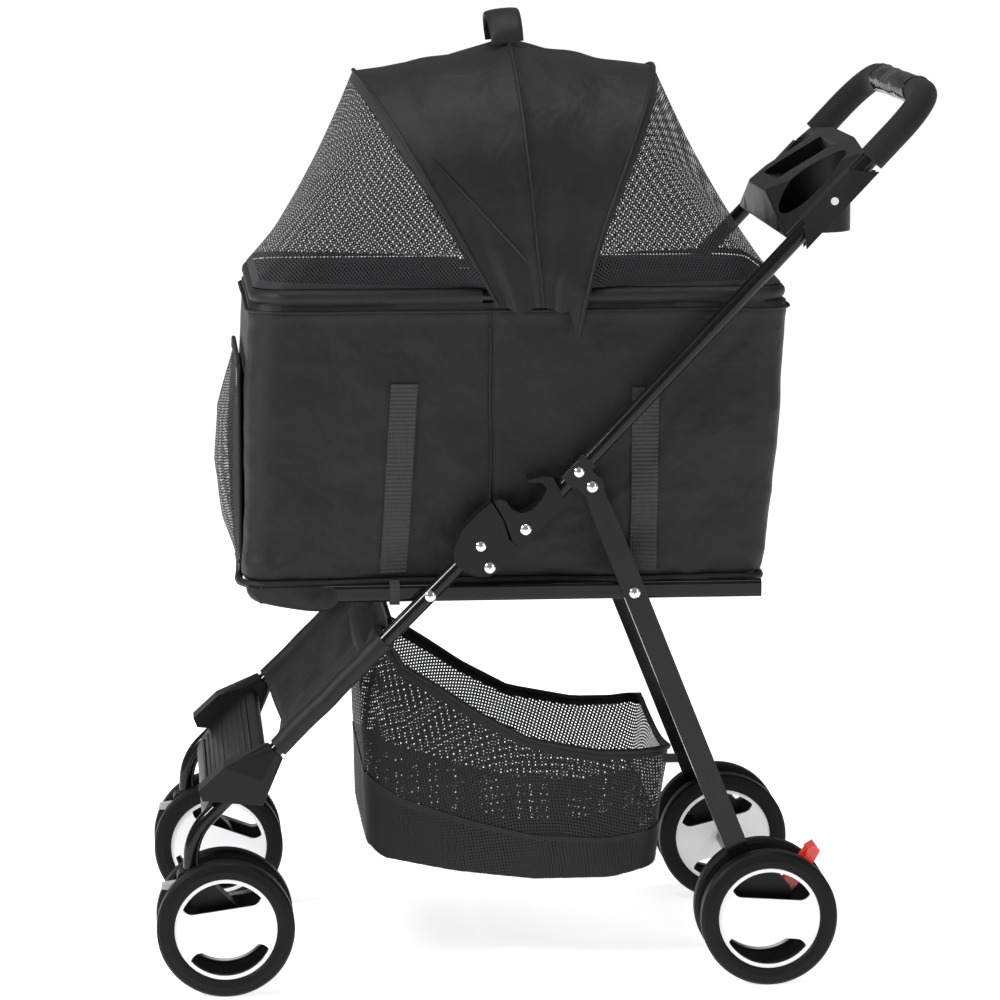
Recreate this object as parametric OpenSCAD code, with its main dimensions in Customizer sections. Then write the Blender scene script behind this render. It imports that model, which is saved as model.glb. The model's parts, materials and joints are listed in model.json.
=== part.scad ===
// Four-point folding pet stroller, millimetres.
// Front of the stroller is -Y, push handle is +Y, left side is +X, ground is Z = 0.

/* [Overall] */
// distance between the left and right tube planes
track = 360; // [300:5:432]
// height of the seat rail above the wheel axles
rail_rise = 335; // [300:5:400]
// how far behind the middle the push handle reaches
handle_reach = 385; // [330:1:460]
// slope of the push handle, degrees
handle_tilt = 46.7; // [40:0.1:52]

/* [Tubes] */
// outside diameter of the frame tubes
tube_d = 16; // [13:0.5:19.5]
// wall of the frame tubes
tube_wall = 1.3; // [1:0.1:2]
// width of the rear leg seen from the side
leg_w = 23; // [19:0.5:26]
// thickness of the rear leg
leg_t = 12; // [10:0.5:13]
// height of the seat rail
rail_h = 18; // [15:0.5:21]

/* [Wheels] */
// wheel diameter
wheel_d = 140; // [116:2:168]
// width of one wheel disc
disc_w = 23; // [19:0.5:27]
// free width between the two discs of a wheel
disc_gap = 32; // [30:1:40]
// axle diameter
axle_d = 8; // [7:0.5:10]
// distance the front axle trails behind the swivel
trail = 34; // [28:1:40]

/* [Cabin] */
// half width of the cabin
cabin_x = 163; // [160:1:164]
// height of the cabin rim above the seat rail
rim_rise = 301; // [250:1:360]
// canopy hoop height at the front hoop
hoop_front_r = 268; // [240:1:300]
// canopy hoop height at the middle hoop
hoop_mid_r = 232; // [215:1:255]
// canopy hoop height at the rear hoop
hoop_rear_r = 237; // [215:1:255]

/* [Fits] */
// radial clearance of a turning or sliding fit
run = 0.08; // [0.03:0.01:0.1]
// gap between parts that pass each other
gap = 0.5; // [0.3:0.1:1]

/* [Hidden] */
$fn = 48;
tx = track / 2;
tr = tube_d / 2;
axle_z = wheel_d / 2;
rz = axle_z + rail_rise;
ru = tr + gap;
rail_w = 12;
rail_x = tx - tr - 2 - rail_w / 2;
rail_in = rail_x - rail_w / 2;
rail_out = rail_x + rail_w / 2;
wheel_in = tx - disc_gap / 2;
wheel_out = tx + disc_gap / 2;
p4 = [-120, rz];
p3 = [88, rz];
p1 = [-60, rz + 29];
p2 = [44, rz + 110];
pin_r = 3;
hu = [cos(handle_tilt), sin(handle_tilt)];
hn = [-sin(handle_tilt), cos(handle_tilt)];
handle_len = (handle_reach - p1[0]) / hu[0];
front_line = rz - p4[0];
stem_y = -364;
stem_z = axle_z + 57;
bend_r = 60;
bend_y = stem_y + bend_r * (1 - cos(45));
bend_z = bend_y + front_line;
bend_base = bend_z - bend_r * sin(45);
front_axle_y = stem_y + trail;
leg_slope = 2.5;
rear_axle_y = 225;
leg_end = [p3[0] + (rz - axle_z - 26) / leg_slope, axle_z + 26];
leg_a = atan2(rz - leg_end[1], leg_end[0] - p3[0]);
cabin_z0 = rz + rail_h / 2 + 1.2;
rim_z = rz + rim_rise;
hoop_p = [-2, rim_z + 16];
front_a = 42.5;
mid_a = 6.5;
rear_a = -31.5;
handle_at = function(s, n) [p1[0] + s * hu[0] + n * hn[0], p1[1] + s * hu[1] + n * hn[1]];

// point i of a closed list
function pick(p, i) = p[(i + len(p)) % len(p)];
// closed smooth curve through a list of points
function smooth(p, n = 4, at = [0, 0]) = [for (i = [0 : len(p) - 1], k = [0 : n - 1])
    let (t = k / n, a = pick(p, i - 1), b = pick(p, i), c = pick(p, i + 1), d = pick(p, i + 2))
    at + 0.5 * (2 * b + (c - a) * t + (2 * a - 5 * b + 4 * c - d) * t * t + (3 * b - a - 3 * c + d) * t * t * t)];
// shift a list of side-view points
function up(p, z) = [for (q = p) [q[0], q[1] + z]];
function arc(c, r, a0, a1, n = 6) = [for (i = [0 : n]) let (a = a0 + (a1 - a0) * i / n)
    [c[0] + r * cos(a), c[1] + r * sin(a)]];

// side-view shape drawn in Y and Z, given thickness from x0 to x1
module slab(x0, x1) {
    translate([x0, 0, 0]) rotate([90, 0, 90]) linear_extrude(x1 - x0) children();
}
module plate(x0, x1, pts) {
    slab(x0, x1) polygon(pts);
}
// round bar along X
module rodx(x0, x1, p, r) {
    translate([x0, p[0], p[1]]) rotate([0, 90, 0]) cylinder(r = r, h = x1 - x0);
}
// round bar between two side-view points at one x
module rod(x, p, q, r) {
    d = q - p;
    translate([x, p[0], p[1]]) rotate([atan2(d[1], d[0]), 0, 0]) rotate([-90, 0, 0])
        cylinder(r = r, h = norm(d));
}
module both() {
    children();
    mirror([1, 0, 0]) children();
}
module side(s) {
    if (s > 0) children();
    else mirror([1, 0, 0]) children();
}
// rectangle with round corners in 2-D
module rrect(x0, x1, y0, y1, r) {
    translate([x0 + r, y0]) square([x1 - x0 - 2 * r, y1 - y0]);
    translate([x0, y0 + r]) square([x1 - x0, y1 - y0 - 2 * r]);
    for (x = [x0 + r, x1 - r], y = [y0 + r, y1 - r]) translate([x, y]) circle(r = r);
}
// half section of a domed head, height then radius, standing on height 0
module dome2(r) {
    intersection() {
        translate([-r * 0.9, 0]) circle(r = r * 1.4);
        square([r, r]);
    }
}
// turn a half section (height along X, radius up) about the line along X through p
module turned(x, p, out = 1) {
    translate([x, p[0], p[1]]) rotate([0, out * 90, 0]) rotate_extrude() rotate(90) mirror([0, 1])
        children();
}
module dome(x, p, out, r = 5.5) {
    turned(x, p, out) dome2(r);
}
// rivet with a shank and a head at each end
module rivet(x0, x1, p, r, head = 5.5) {
    turned(x0, p) {
        translate([0, 0]) square([x1 - x0, r]);
        translate([x1 - x0, 0]) dome2(head);
        mirror([1, 0]) dome2(head);
    }
}

/* ---- seat frame ---- */
rail_y0 = -292;
rail_y1 = 220;
cross_r = 6;
cross_y = [rail_y0 + 14, rail_y1 - 14];
module seat_rail() {
    difference() {
        translate([rail_x, 0, rz]) rotate([-90, 0, 0]) translate([0, 0, rail_y0])
            linear_extrude(rail_y1 - rail_y0) rrect(-rail_w / 2, rail_w / 2, -rail_h / 2, rail_h / 2, 4);
        translate([rail_x, 0, rz]) rotate([-90, 0, 0]) translate([0, 0, rail_y0 + 2])
            linear_extrude(rail_y1 - rail_y0 - 4)
            rrect(-rail_w / 2 + 1.4, rail_w / 2 - 1.4, -rail_h / 2 + 1.4, rail_h / 2 - 1.4, 2.6);
        for (p = [p3, p4]) rodx(rail_in - 1, rail_out + 1, p, pin_r);
        for (y = cross_y) rodx(rail_in - 1, rail_in + 6, [y, rz], cross_r);
    }
}
module seat_rail_left() {
    color("#1b1b1d") seat_rail();
}
module seat_rail_right() {
    color("#1b1b1d") mirror([1, 0, 0]) seat_rail();
}
module seat_cross_tubes() {
    color("#1b1b1d") for (y = cross_y) difference() {
        rodx(-rail_in - 2, rail_in + 2, [y, rz], cross_r);
        rodx(-rail_in - 3, rail_in + 3, [y, rz], cross_r - 1.2);
    }
}
// the shank clears the folding tube by the running fit, a collar spaces it off the rail
module frame_rivets() {
    color("#c8c8c8") both() for (k = [0, 1]) {
        half = k > 0 ? leg_t / 2 : tr;
        x0 = rail_in - 0.1;
        len = tx + half + 0.4 - x0;
        turned(x0, k > 0 ? p3 : p4) {
            square([len, pin_r]);
            translate([rail_out - x0, 0]) square([tx - half - 0.3 - rail_out, 6]);
            translate([len, 0]) dome2(5.5);
            mirror([1, 0]) dome2(5.5);
        }
    }
}
module wrap_pts(d) {
    polygon([[-301 + d, rz + 9.9], [-296 + d, rz - 2], [-288 + d, rz - 7 - rail_h / 4 + d], [-250, rz - 12 - rail_h / 4 + d],
        [-214, rz - 18 + d], [-206 - d, rz - 12], [-206 - d, rz + 9.9]]);
}
module front_wrap() {
    color("#26262a") difference() {
        slab(-tx + tr + 0.5, tx - tr - 0.5) wrap_pts(0);
        slab(-tx + tr + 2, tx - tr - 2) difference() {
            wrap_pts(1.5);
            translate([-310, rz + rail_h / 2 + 0.3]) square([120, 4]);
        }
        translate([-rail_out - 0.3, -293, rz - rail_h / 2 - 0.3])
            cube([2 * rail_out + 0.6, 120, rail_h + 0.6]);
    }
}
bk_x = 138;
bk_out = up([[-166, -9.5], [-190, -160], [-188, -271], [-165, -298], [-60, -313], [60, -318], [108, -308],
    [120, -270], [131, -172], [57, -178], [-15, -164], [-67, -131], [-146, -81], [-152, -9.5]], rz);
bk_in = up([[-163, 30], [-163, -9.5], [-187, -160], [-185, -270], [-164, -295], [-60, -310], [60, -315], [106, -305],
    [117, -269], [128.5, -168], [140, -100], [-140, 30]], rz);
module basket() {
    color("#202022") difference() {
        plate(-bk_x, bk_x, bk_out);
        plate(-bk_x + 2.5, bk_x - 2.5, bk_in);
    }
}
module basket_straps() {
    color("#202022") both() {
        difference() {
            translate([rail_in - 2.6, -166, rz - rail_h / 2 - 2.6]) cube([rail_w + 4, 10, rail_h + 3.2]);
            translate([rail_in - 1, -167, rz - rail_h / 2 - 1])
                cube([rail_w + 1.4, 12, rail_h + 2]);
        }
        translate([bk_x + 0.05, -164, rz - rail_h / 2 - 4.2]) cube([rail_out - bk_x - 1, 6, 1.6]);
        translate([bk_x + 0.2, 116, rz - 182]) cube([tx - leg_t / 2 - bk_x - 1, 14, 2]);
    }
}

/* ---- front legs ---- */
// the bend is a piece of its own, a hair clear of the straights
module front_bend(r) {
    translate([tx, stem_y + bend_r, bend_base]) rotate([90, 0, 90]) rotate([0, 0, 135.03])
        rotate_extrude(angle = 44.94) translate([bend_r, 0]) circle(r = r);
}
module front_path(r, extra) {
    rod(tx, [bend_y, bend_z] - [extra, extra], p4 + [61 + extra, 61 + extra], r);
    translate([tx, stem_y, stem_z - extra]) cylinder(r = r, h = bend_base - stem_z + 2 * extra);
}
r1 = p4 + [51, 51];
module front_tube() {
    difference() {
        front_path(tr, 0);
        front_path(tr - tube_wall, 1);
        rodx(tx - 20, tx + 20, p4, pin_r + run);
        rodx(tx - 20, tx + 20, r1, 2.5);
    }
    difference() {
        front_bend(tr);
        front_bend(tr - tube_wall);
    }
}
module front_tube_left() {
    color("#1b1b1d") front_tube();
}
module front_tube_right() {
    color("#1b1b1d") mirror([1, 0, 0]) front_tube();
}
step_p = p4 - [199, 199];
step_half = 44;
module footrest() {
    color("#2c2c2e") difference() {
        translate([0, step_p[0], step_p[1]]) rotate([45, 0, 0]) {
            slab(-tx + 15.6, tx - 15.6) polygon(smooth([[-step_half, -5], [-step_half, 3], [-20, 9], [10, 10],
                [step_half - 6, 6], [step_half, 0], [step_half - 4, -5], [10, -2], [-20, -3]], 5));
            for (i = [-4 : 5]) translate([-tx + 40, i * 7 - 3, 8.6 - abs(i) * 0.35])
                cube([2 * tx - 80, 2.4, 2.2 - abs(i) * 0.1]);
        }
        both() rod(tx, p4 - [150, 150], p4 - [250, 250], tr + 1);
    }
}
module tube_cover() {
    difference() {
        hull() {
            rod(tx, [p4[0] - 158, rz - 158], [p4[0] - 166, rz - 166], tr + 3.5);
            translate([0, 0, 0]) plate(tx - 15.5, tx + 15.5, [[-352, rz - 206], [-356, rz - 196],
                [-330, rz - 172], [-292, rz - 186], [-291, rz - 212], [-300, rz - 209]]);
        }
        difference() {
            hull() {
                rod(tx, [p4[0] - 185, rz - 185], [p4[0] - 187, rz - 187], tr + 2);
                plate(tx - 13, tx + 13, [[-347, rz - 226], [-351, rz - 198], [-330, rz - 178],
                    [-296, rz - 190], [-293, rz - 226]]);
            }
            rod(tx, p4 - [180, 180], p4 - [200, 200], tr + 4);
        }
        front_path(tr, 3);
    }
}
module tube_cover_left() {
    color("#2c2c2e") tube_cover();
}
module tube_cover_right() {
    color("#2c2c2e") mirror([1, 0, 0]) tube_cover();
}
module leg_panel() {
    a = p4 - [59, 59];
    b = p4 - [155, 155];
    n = [-0.7071, 0.7071];
    color("#26262a") difference() {
        union() {
            plate(-tx, tx, [a + n * 1, b + n * 1, b - n * 1, a - n * 1]);
            both() rod(tx, a, b, tr + 1.4);
        }
        both() rod(tx, a + [9, 9], b - [9, 9], tr);
    }
}
cheek_in = ru;
cheek_out = tr + 4.5;
seam_r = 34.6;
housing_pts = up([[-96, 35], [-97, 47], [-88, 68], [-70.5, 86], [-62.4, 92], [-58, 95.5], [-46.5, 77.5]], rz);
module housing_outline() {
    polygon(concat(housing_pts, arc(p1, seam_r, 56, 30), up([[-53.3, 23.7], [-62.4, 19.6], [-75.6, 20.6],
        [-88.8, 27]], rz)));
}
module fold_housing() {
    difference() {
        slab(tx - cheek_out, tx + cheek_out) housing_outline();
        difference() {
            slab(tx - cheek_in, tx + cheek_in) difference() {
                union() {
                    translate(p1) circle(r = tr + 4);
                    polygon([p1 + [-9, 9], p1 + [40, 60], p1 + [80, 0], p1 + [20, -50], p1 + [-6, -50]]);
                }
                translate(p4) rotate(45) square([200, 2 * tr + 3.6], center = true);
            }
        }
        rod(tx, p4, p4 + [61, 61], tr);
        rodx(tx - 30, tx + 30, p1, pin_r);
        rodx(tx - 30, tx + 30, r1, 2.5);
    }
}
module fold_housings() {
    color("#2c2c2e") both() fold_housing();
}
module housing_rivets() {
    color("#c8c8c8") both() {
        rivet(tx - cheek_out - 0.05, tx + cheek_out + 0.05, p1, pin_r);
        rivet(tx - cheek_out - 0.05, tx + cheek_out + 0.05, r1, 2.5, 5);
    }
}

/* ---- push handle ---- */
module in_handle() {
    translate([0, p1[0], p1[1]]) rotate([handle_tilt, 0, 0]) children();
}
corner_r = 48;
module handle_path(r, lo) {
    both() {
        translate([tx, lo, 0]) rotate([-90, 0, 0]) cylinder(r = r, h = handle_len - corner_r - lo);
        translate([tx - corner_r, handle_len - corner_r, 0]) rotate_extrude(angle = 90)
            translate([corner_r, 0]) circle(r = r);
    }
    translate([-tx + corner_r, handle_len, 0]) rotate([0, 90, 0]) cylinder(r = r, h = track - 2 * corner_r);
}
brk_s = 132;
latch_s = 53;
latch_travel = 12;
module push_handle() {
    color("#1b1b1d") difference() {
        in_handle() difference() {
            handle_path(tr, -tr);
            handle_path(tr - tube_wall, -tr - 1);
            both() translate([tx - 20, brk_s, 0]) rotate([0, 90, 0]) cylinder(r = 2.5, h = 40);
            both() translate([tx - 20, latch_s - 3.2, -3.2]) cube([40, latch_travel + 6.8, 6.4]);
        }
        both() rodx(tx - 20, tx + 20, p1, pin_r + run);
    }
}
grip_r = 14;
grip_s = 562;
module grip_corner() {
    in_handle() difference() {
        union() {
            translate([tx, grip_s, 0]) rotate([-90, 0, 0])
                cylinder(r = grip_r, h = handle_len - corner_r - grip_s);
            translate([tx - corner_r, handle_len - corner_r, 0]) rotate_extrude(angle = 90)
                translate([corner_r, 0]) circle(r = grip_r);
            translate([104, handle_len, 0]) rotate([0, 90, 0])
                cylinder(r = grip_r, h = tx - corner_r - 104);
        }
        handle_path(tr, grip_s - 4);
    }
}
module grip_left() {
    color("#303034") grip_corner();
}
module grip_right() {
    color("#303034") mirror([1, 0, 0]) grip_corner();
}
module grip_wrap() {
    color("#141416") in_handle() difference() {
        translate([-103, handle_len, 0]) rotate([0, 90, 0]) cylinder(r = grip_r + 1, h = 206);
        translate([-104, handle_len, 0]) rotate([0, 90, 0]) cylinder(r = tr, h = 208);
    }
}
ear_c = (p2 - p1) * hu;
ear_n = -((p2 - p1) * hn);
module leg_bracket() {
    difference() {
        intersection() {
            in_handle() union() {
                for (x = [tx - tr - 2, tx + tr + 0.1]) translate([x, 0, 0]) rotate([90, 0, 90])
                    linear_extrude(1.9) {
                        translate([brk_s - 16, -8]) square([32, 18]);
                        translate([ear_c, -ear_n]) circle(r = 12);
                        translate([ear_c - 12, -ear_n]) square([24, ear_n]);
                    }
                translate([tx, brk_s - 16, 0]) rotate([-90, 0, 0]) difference() {
                    cylinder(r = tr + 2, h = 32);
                    translate([0, 0, -1]) cylinder(r = tr + 0.1, h = 34);
                    translate([-20, 0, -1]) cube([40, 40, 40]);
                }
            }
            in_handle() translate([tx - tr - 2, -50, -60]) cube([tube_d + 4, 400, 60 + tr + 2]);
        }
        in_handle() for (k = [-1, 1]) translate([tx + k * (tr + 2), brk_s, tr + 2]) rotate([90, 0, 0])
            cylinder(r = 1.6, h = 60, center = true);
        rodx(tx - 20, tx + 20, p2, pin_r);
        in_handle() translate([tx - 20, brk_s, 0]) rotate([0, 90, 0]) cylinder(r = 2.5, h = 40);
    }
}
module leg_brackets() {
    color("#1b1b1d") both() leg_bracket();
}
// the pivot at the leg top is left open: its rivets stop in the bracket ears
module handle_rivets() {
    color("#c8c8c8") both() {
        translate([0, p1[0] + brk_s * hu[0], p1[1] + brk_s * hu[1]])
            rivet(tx - tr - 2.05, tx + tr + 2.05, [0, 0], 2.5, 5);
        for (k = [-1, 1]) {
            turned(tx + k * (tr + 2.05), p2, k) {
                dome2(5.5);
                translate([-1.75, 0]) square([1.75, pin_r]);
            }
        }
        translate([0, p1[0] + 506 * hu[0], p1[1] + 506 * hu[1]]) rodx(tx + tr + 0.1, tx + tr + 5, [0, 0], 4);
    }
}
latch_in = run;
latch_pts = up([[-56.2, 96.9], [-50.3, 98.5], [-43.2, 96.4], [-38, 88.5], [-28, 84.1], [-17.8, 87.2],
    [-7.2, 98], [-2.2, 109], [-7, 114.6], [-21, 116], [-21.5, 118], [-6, 121.6], [3.4, 121], [10.5, 108.7],
    [17.6, 93.4], [3.4, 80.2]], rz);
module latch() {
    difference() {
        slab(tx - cheek_out, tx + cheek_out)
            polygon(concat(latch_pts, arc(p1, 35.3, 30, 50), up([[-45.3, 78.3]], rz)));
        in_handle() translate([tx, -40, 0]) rotate([-90, 0, 0]) cylinder(r = tr + latch_in, h = 200);
        translate([0, p1[0] + latch_s * hu[0], p1[1] + latch_s * hu[1]]) rodx(tx - 30, tx + 30, [0, 0], 3);
        rod(tx, p4, p4 + [61, 61], tr + 1);
    }
}
module latch_left() {
    color("#2c2c2e") latch();
}
module latch_right() {
    color("#2c2c2e") mirror([1, 0, 0]) latch();
}
module latch_pin() {
    translate([0, p1[0] + latch_s * hu[0], p1[1] + latch_s * hu[1]])
        rivet(tx - cheek_out - 0.05, tx + cheek_out + 0.05, [0, 0], 3);
}
module latch_pin_left() {
    color("#c8c8c8") latch_pin();
}
module latch_pin_right() {
    color("#c8c8c8") mirror([1, 0, 0]) latch_pin();
}
tray_s0 = 452;
tray_s1 = 558;
module bars(r, inset, dz) {
    lo = handle_at(tray_s0 + inset, 6);
    hi = handle_at(tray_s1 - inset, 6);
    for (k = [-1, 1]) for (p = [lo, hi]) translate([k * (tx - tr - 6 - inset), p[0], p[1] + dz])
        sphere(r = r, $fn = 20);
    for (k = [-1, 1]) for (p = [lo + [-5 + inset, 33], lo + [20, 50], hi + [6 - inset, 8]])
        translate([k * 62, p[0], p[1] + dz]) sphere(r = r, $fn = 20);
}
cup_y = p1[0] + 0.5 * (tray_s0 + tray_s1) * hu[0] - 10;
cup_x = tx - tr - 52;
cup_z0 = p1[1] + tray_s0 * hu[1] + 4;
module parent_tray() {
    color("#2e2e31") difference() {
        union() {
            difference() {
                hull() bars(5, 0, 0);
                hull() bars(5, 3, -6);
                translate([-200, 0, cup_z0 - 60]) cube([400, 400, 44]);
            }
            intersection() {
                union() {
                    for (k = [-1, 1]) translate([k * cup_x, cup_y, cup_z0]) cylinder(r = 38, h = 120);
                    slab(-50, 50) rrect(cup_y - 32, cup_y + 36, cup_z0 + 40, cup_z0 + 140, 8);
                }
                hull() {
                    bars(5, 0, -0.5);
                    bars(5, 0, -120);
                }
            }
            in_handle() both() difference() {
                translate([tx - tr - 4, tray_s0, -13]) cube([tube_d + 8, tray_s1 - tray_s0, tr + 16]);
                translate([tx - ru, tray_s0 - 1, -20]) cube([2 * ru, 120, 20]);
                for (k = [-1, 1]) translate([0, k > 0 ? tray_s1 : tray_s0, -13]) rotate([k * 40, 0, 0])
                    translate([tx - 30, k > 0 ? 0 : -40, -30]) cube([60, 40, 60]);
            }
        }
        for (k = [-1, 1]) translate([k * cup_x, cup_y, cup_z0 + 3]) cylinder(r = 35, h = 150);
        slab(-47, 47) rrect(cup_y - 29, cup_y + 33, cup_z0 + 43, cup_z0 + 220, 6);
        in_handle() both() {
            translate([tx, tray_s0 - 60, 0]) rotate([-90, 0, 0]) cylinder(r = tr + 0.05, h = 300);
            translate([tx + tr - 2, 506, 0]) rotate([0, 90, 0]) cylinder(r = 4.05, h = 20);
        }
    }
}

/* ---- rear legs ---- */
top_r = 9.6;
module leg_line(r) {
    len = norm(p2 - leg_end);
    k = leg_w / 2 - top_r;
    translate(leg_end) rotate(180 - leg_a) polygon(concat([[0, -r], [len - 40, -r]],
        arc([len, 0], r - k, -80, 80, 10), [[len - 40, r], [0, r]]));
}
module rear_leg() {
    difference() {
        slab(tx - leg_t / 2, tx + leg_t / 2) leg_line(leg_w / 2);
        difference() {
            slab(tx - leg_t / 2 + 1.5, tx + leg_t / 2 - 1.5) leg_line(leg_w / 2 - 1.5);
            for (p = [p3, p2]) rodx(tx - 20, tx + 20, p, 6);
        }
        rodx(tx - 20, tx + 20, p3, pin_r + run);
        rodx(tx - 20, tx + 20, p2, pin_r + 0.5);
    }
}
module rear_leg_left() {
    color("#1b1b1d") rear_leg();
}
module rear_leg_right() {
    color("#1b1b1d") mirror([1, 0, 0]) rear_leg();
}
axle = [rear_axle_y, axle_z];
spacer = wheel_in - disc_w - 1.5;
module rear_cross_tube() {
    color("#1b1b1d") difference() {
        rodx(-spacer, spacer, axle, 8);
        rodx(-spacer - 1, spacer + 1, axle, axle_d / 2);
    }
}
brake_p = axle + [18, 24];
module axle_block() {
    difference() {
        slab(tx - 13, tx + 13) polygon(smooth([axle + [-34, 34], axle + [-6, 50], axle + [10, 42],
            axle + [20, 32], axle + [26, 22], axle + [20, 4], axle + [14, -11], axle + [0, -15],
            axle + [-15, -12], axle + [-26, 8]], 3));
        slab(tx - leg_t / 2, tx + leg_t / 2) leg_line(leg_w / 2);
        rodx(tx - 20, tx + 20, axle, axle_d / 2);
        slab(tx - 6.5, tx + 6.5) polygon([brake_p + [-9, -8], brake_p + [-9, 40], brake_p + [40, 40],
            brake_p + [40, -12], brake_p + [0, -12]]);
    }
    rodx(tx - 7, tx + 7, brake_p, 2.4);
}
module axle_blocks() {
    color("#2c2c2e") both() axle_block();
}
module rear_axle() {
    color("#a8a8aa") rodx(-wheel_out - disc_w + 6.3, wheel_out + disc_w - 6.3, axle, axle_d / 2);
}
module brake_pedal() {
    color("#d8281e") difference() {
        union() {
            slab(tx - 6, tx + 6) polygon(smooth([[-6, -4], [-6, 5], [6, 16], [16, 32], [24, 42], [32, 46],
                [36, 38], [28, 24], [16, 6], [4, -6]], 3, brake_p));
            slab(tx - 12, tx + 12) polygon([for (q = [[20, 26], [24, 42], [32, 47], [37, 40], [27, 22]])
                q + brake_p]);
        }
        rodx(tx - 20, tx + 20, brake_p, 2.4 + run);
    }
}

/* ---- front casters ---- */
fork_axle = [front_axle_y, axle_z];
pin_top = bend_base - stem_z + 3.4;
module caster_fork() {
    difference() {
        union() {
            slab(tx - 12, tx + 12) polygon(smooth([[stem_y - 12, stem_z - 3.4], [stem_y + 11, stem_z - 3.4],
                [stem_y + 24, stem_z - 18], [front_axle_y + 14, axle_z + 14], [front_axle_y + 15, axle_z - 8],
                [front_axle_y, axle_z - 15], [front_axle_y - 13, axle_z - 8], [stem_y + 2, axle_z + 18],
                [stem_y - 13, stem_z - 18]], 4));
            translate([tx, stem_y, stem_z - 8]) cylinder(r = tr - tube_wall - run, h = pin_top + 4);
        }
        rodx(tx - 30, tx + 30, fork_axle, axle_d / 2);
        slab(tx - 6.5, tx + 6.5) polygon([[stem_y - 30, stem_z - 12], [stem_y - 8, stem_z - 12],
            [stem_y - 8, stem_z - 28], [stem_y - 30, stem_z - 28]]);
    }
    rodx(tx - 7, tx + 7, lock_p, 2);
}
lock_p = [stem_y - 12, stem_z - 19];
module caster_fork_left() {
    color("#2c2c2e") caster_fork();
}
module caster_fork_right() {
    color("#2c2c2e") mirror([1, 0, 0]) caster_fork();
}
module caster_axle() {
    rodx(wheel_in - disc_w + 6.3, wheel_out + disc_w - 6.3, fork_axle, axle_d / 2);
}
module caster_axle_left() {
    color("#a8a8aa") caster_axle();
}
module caster_axle_right() {
    color("#a8a8aa") mirror([1, 0, 0]) caster_axle();
}
module swivel_lock() {
    difference() {
        slab(tx - 6, tx + 6) polygon([lock_p + [3.5, -3], lock_p + [3.2, 1.6], lock_p + [-4, 5],
            lock_p + [-18, 3], lock_p + [-19, -2], lock_p + [-6, -3.5]]);
        rodx(tx - 20, tx + 20, lock_p, 2 + run);
    }
}
module swivel_lock_left() {
    color("#c9ccd0") swivel_lock();
}
module swivel_lock_right() {
    color("#c9ccd0") mirror([1, 0, 0]) swivel_lock();
}

/* ---- wheels ---- */
bore_r = axle_d / 2 + run;
cover_r = wheel_d / 2 - 18;
module lobe(r, h0) {
    intersection() {
        circle(r = r);
        rrect(-r * 0.84, r * 0.84, h0, r + 30, 11);
    }
}
module disc() {
    w = wheel_d / 2;
    difference() {
        rotate_extrude() polygon([[bore_r, 0.6], [11, 0.6], [11, 8], [w - 20, 8], [w - 18, 2], [w - 10, 0.4],
            [w - 3, 1], [w, 5], [w, disc_w - 4.5], [w - 2.5, disc_w - 1.5], [w - 10, disc_w],
            [w - 16, disc_w - 0.6], [cover_r + 0.3, disc_w - 2.6], [cover_r + 0.3, 12], [11, 12],
            [11, disc_w - 6.4], [bore_r, disc_w - 6.4]]);
        for (k = [0, 180]) rotate(k) translate([0, 0, -1]) linear_extrude(disc_w)
            lobe(cover_r - 3, 18.5);
    }
}
module cover() {
    difference() {
        union() {
            translate([0, 0, disc_w - 6]) cylinder(r = cover_r, h = 2.4);
            difference() {
                translate([0, 0, 12]) cylinder(r = cover_r, h = disc_w - 17);
                translate([0, 0, 11]) cylinder(r = cover_r - 1.6, h = disc_w);
            }
        }
        for (k = [0, 180]) rotate(k) translate([0, 0, 5]) linear_extrude(disc_w)
            lobe(cover_r - 3.6, 20);
    }
}
module pair(s, y, turn) {
    side(s) for (k = [0, 1]) translate([k > 0 ? wheel_out : wheel_in, y, axle_z])
        rotate([0, k > 0 ? 90 : -90, 0]) rotate(k > 0 ? 90 + turn : 90 - turn) children();
}
module wheels_front_left() {
    color("#1a1a1c") pair(1, front_axle_y, 8) disc();
}
module wheels_front_right() {
    color("#1a1a1c") pair(-1, front_axle_y, -20) disc();
}
module wheels_rear_left() {
    color("#1a1a1c") pair(1, rear_axle_y, -4) disc();
}
module wheels_rear_right() {
    color("#1a1a1c") pair(-1, rear_axle_y, 14) disc();
}
module covers_front_left() {
    color("#f2f2f2") pair(1, front_axle_y, 8) cover();
}
module covers_front_right() {
    color("#f2f2f2") pair(-1, front_axle_y, -20) cover();
}
module covers_rear_left() {
    color("#f2f2f2") difference() {
        pair(1, rear_axle_y, -4) cover();
        rodx(-wheel_in, wheel_in, axle, bore_r);
    }
}
module covers_rear_right() {
    color("#f2f2f2") difference() {
        pair(-1, rear_axle_y, 14) cover();
        rodx(-wheel_in, wheel_in, axle, bore_r);
    }
}

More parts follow.
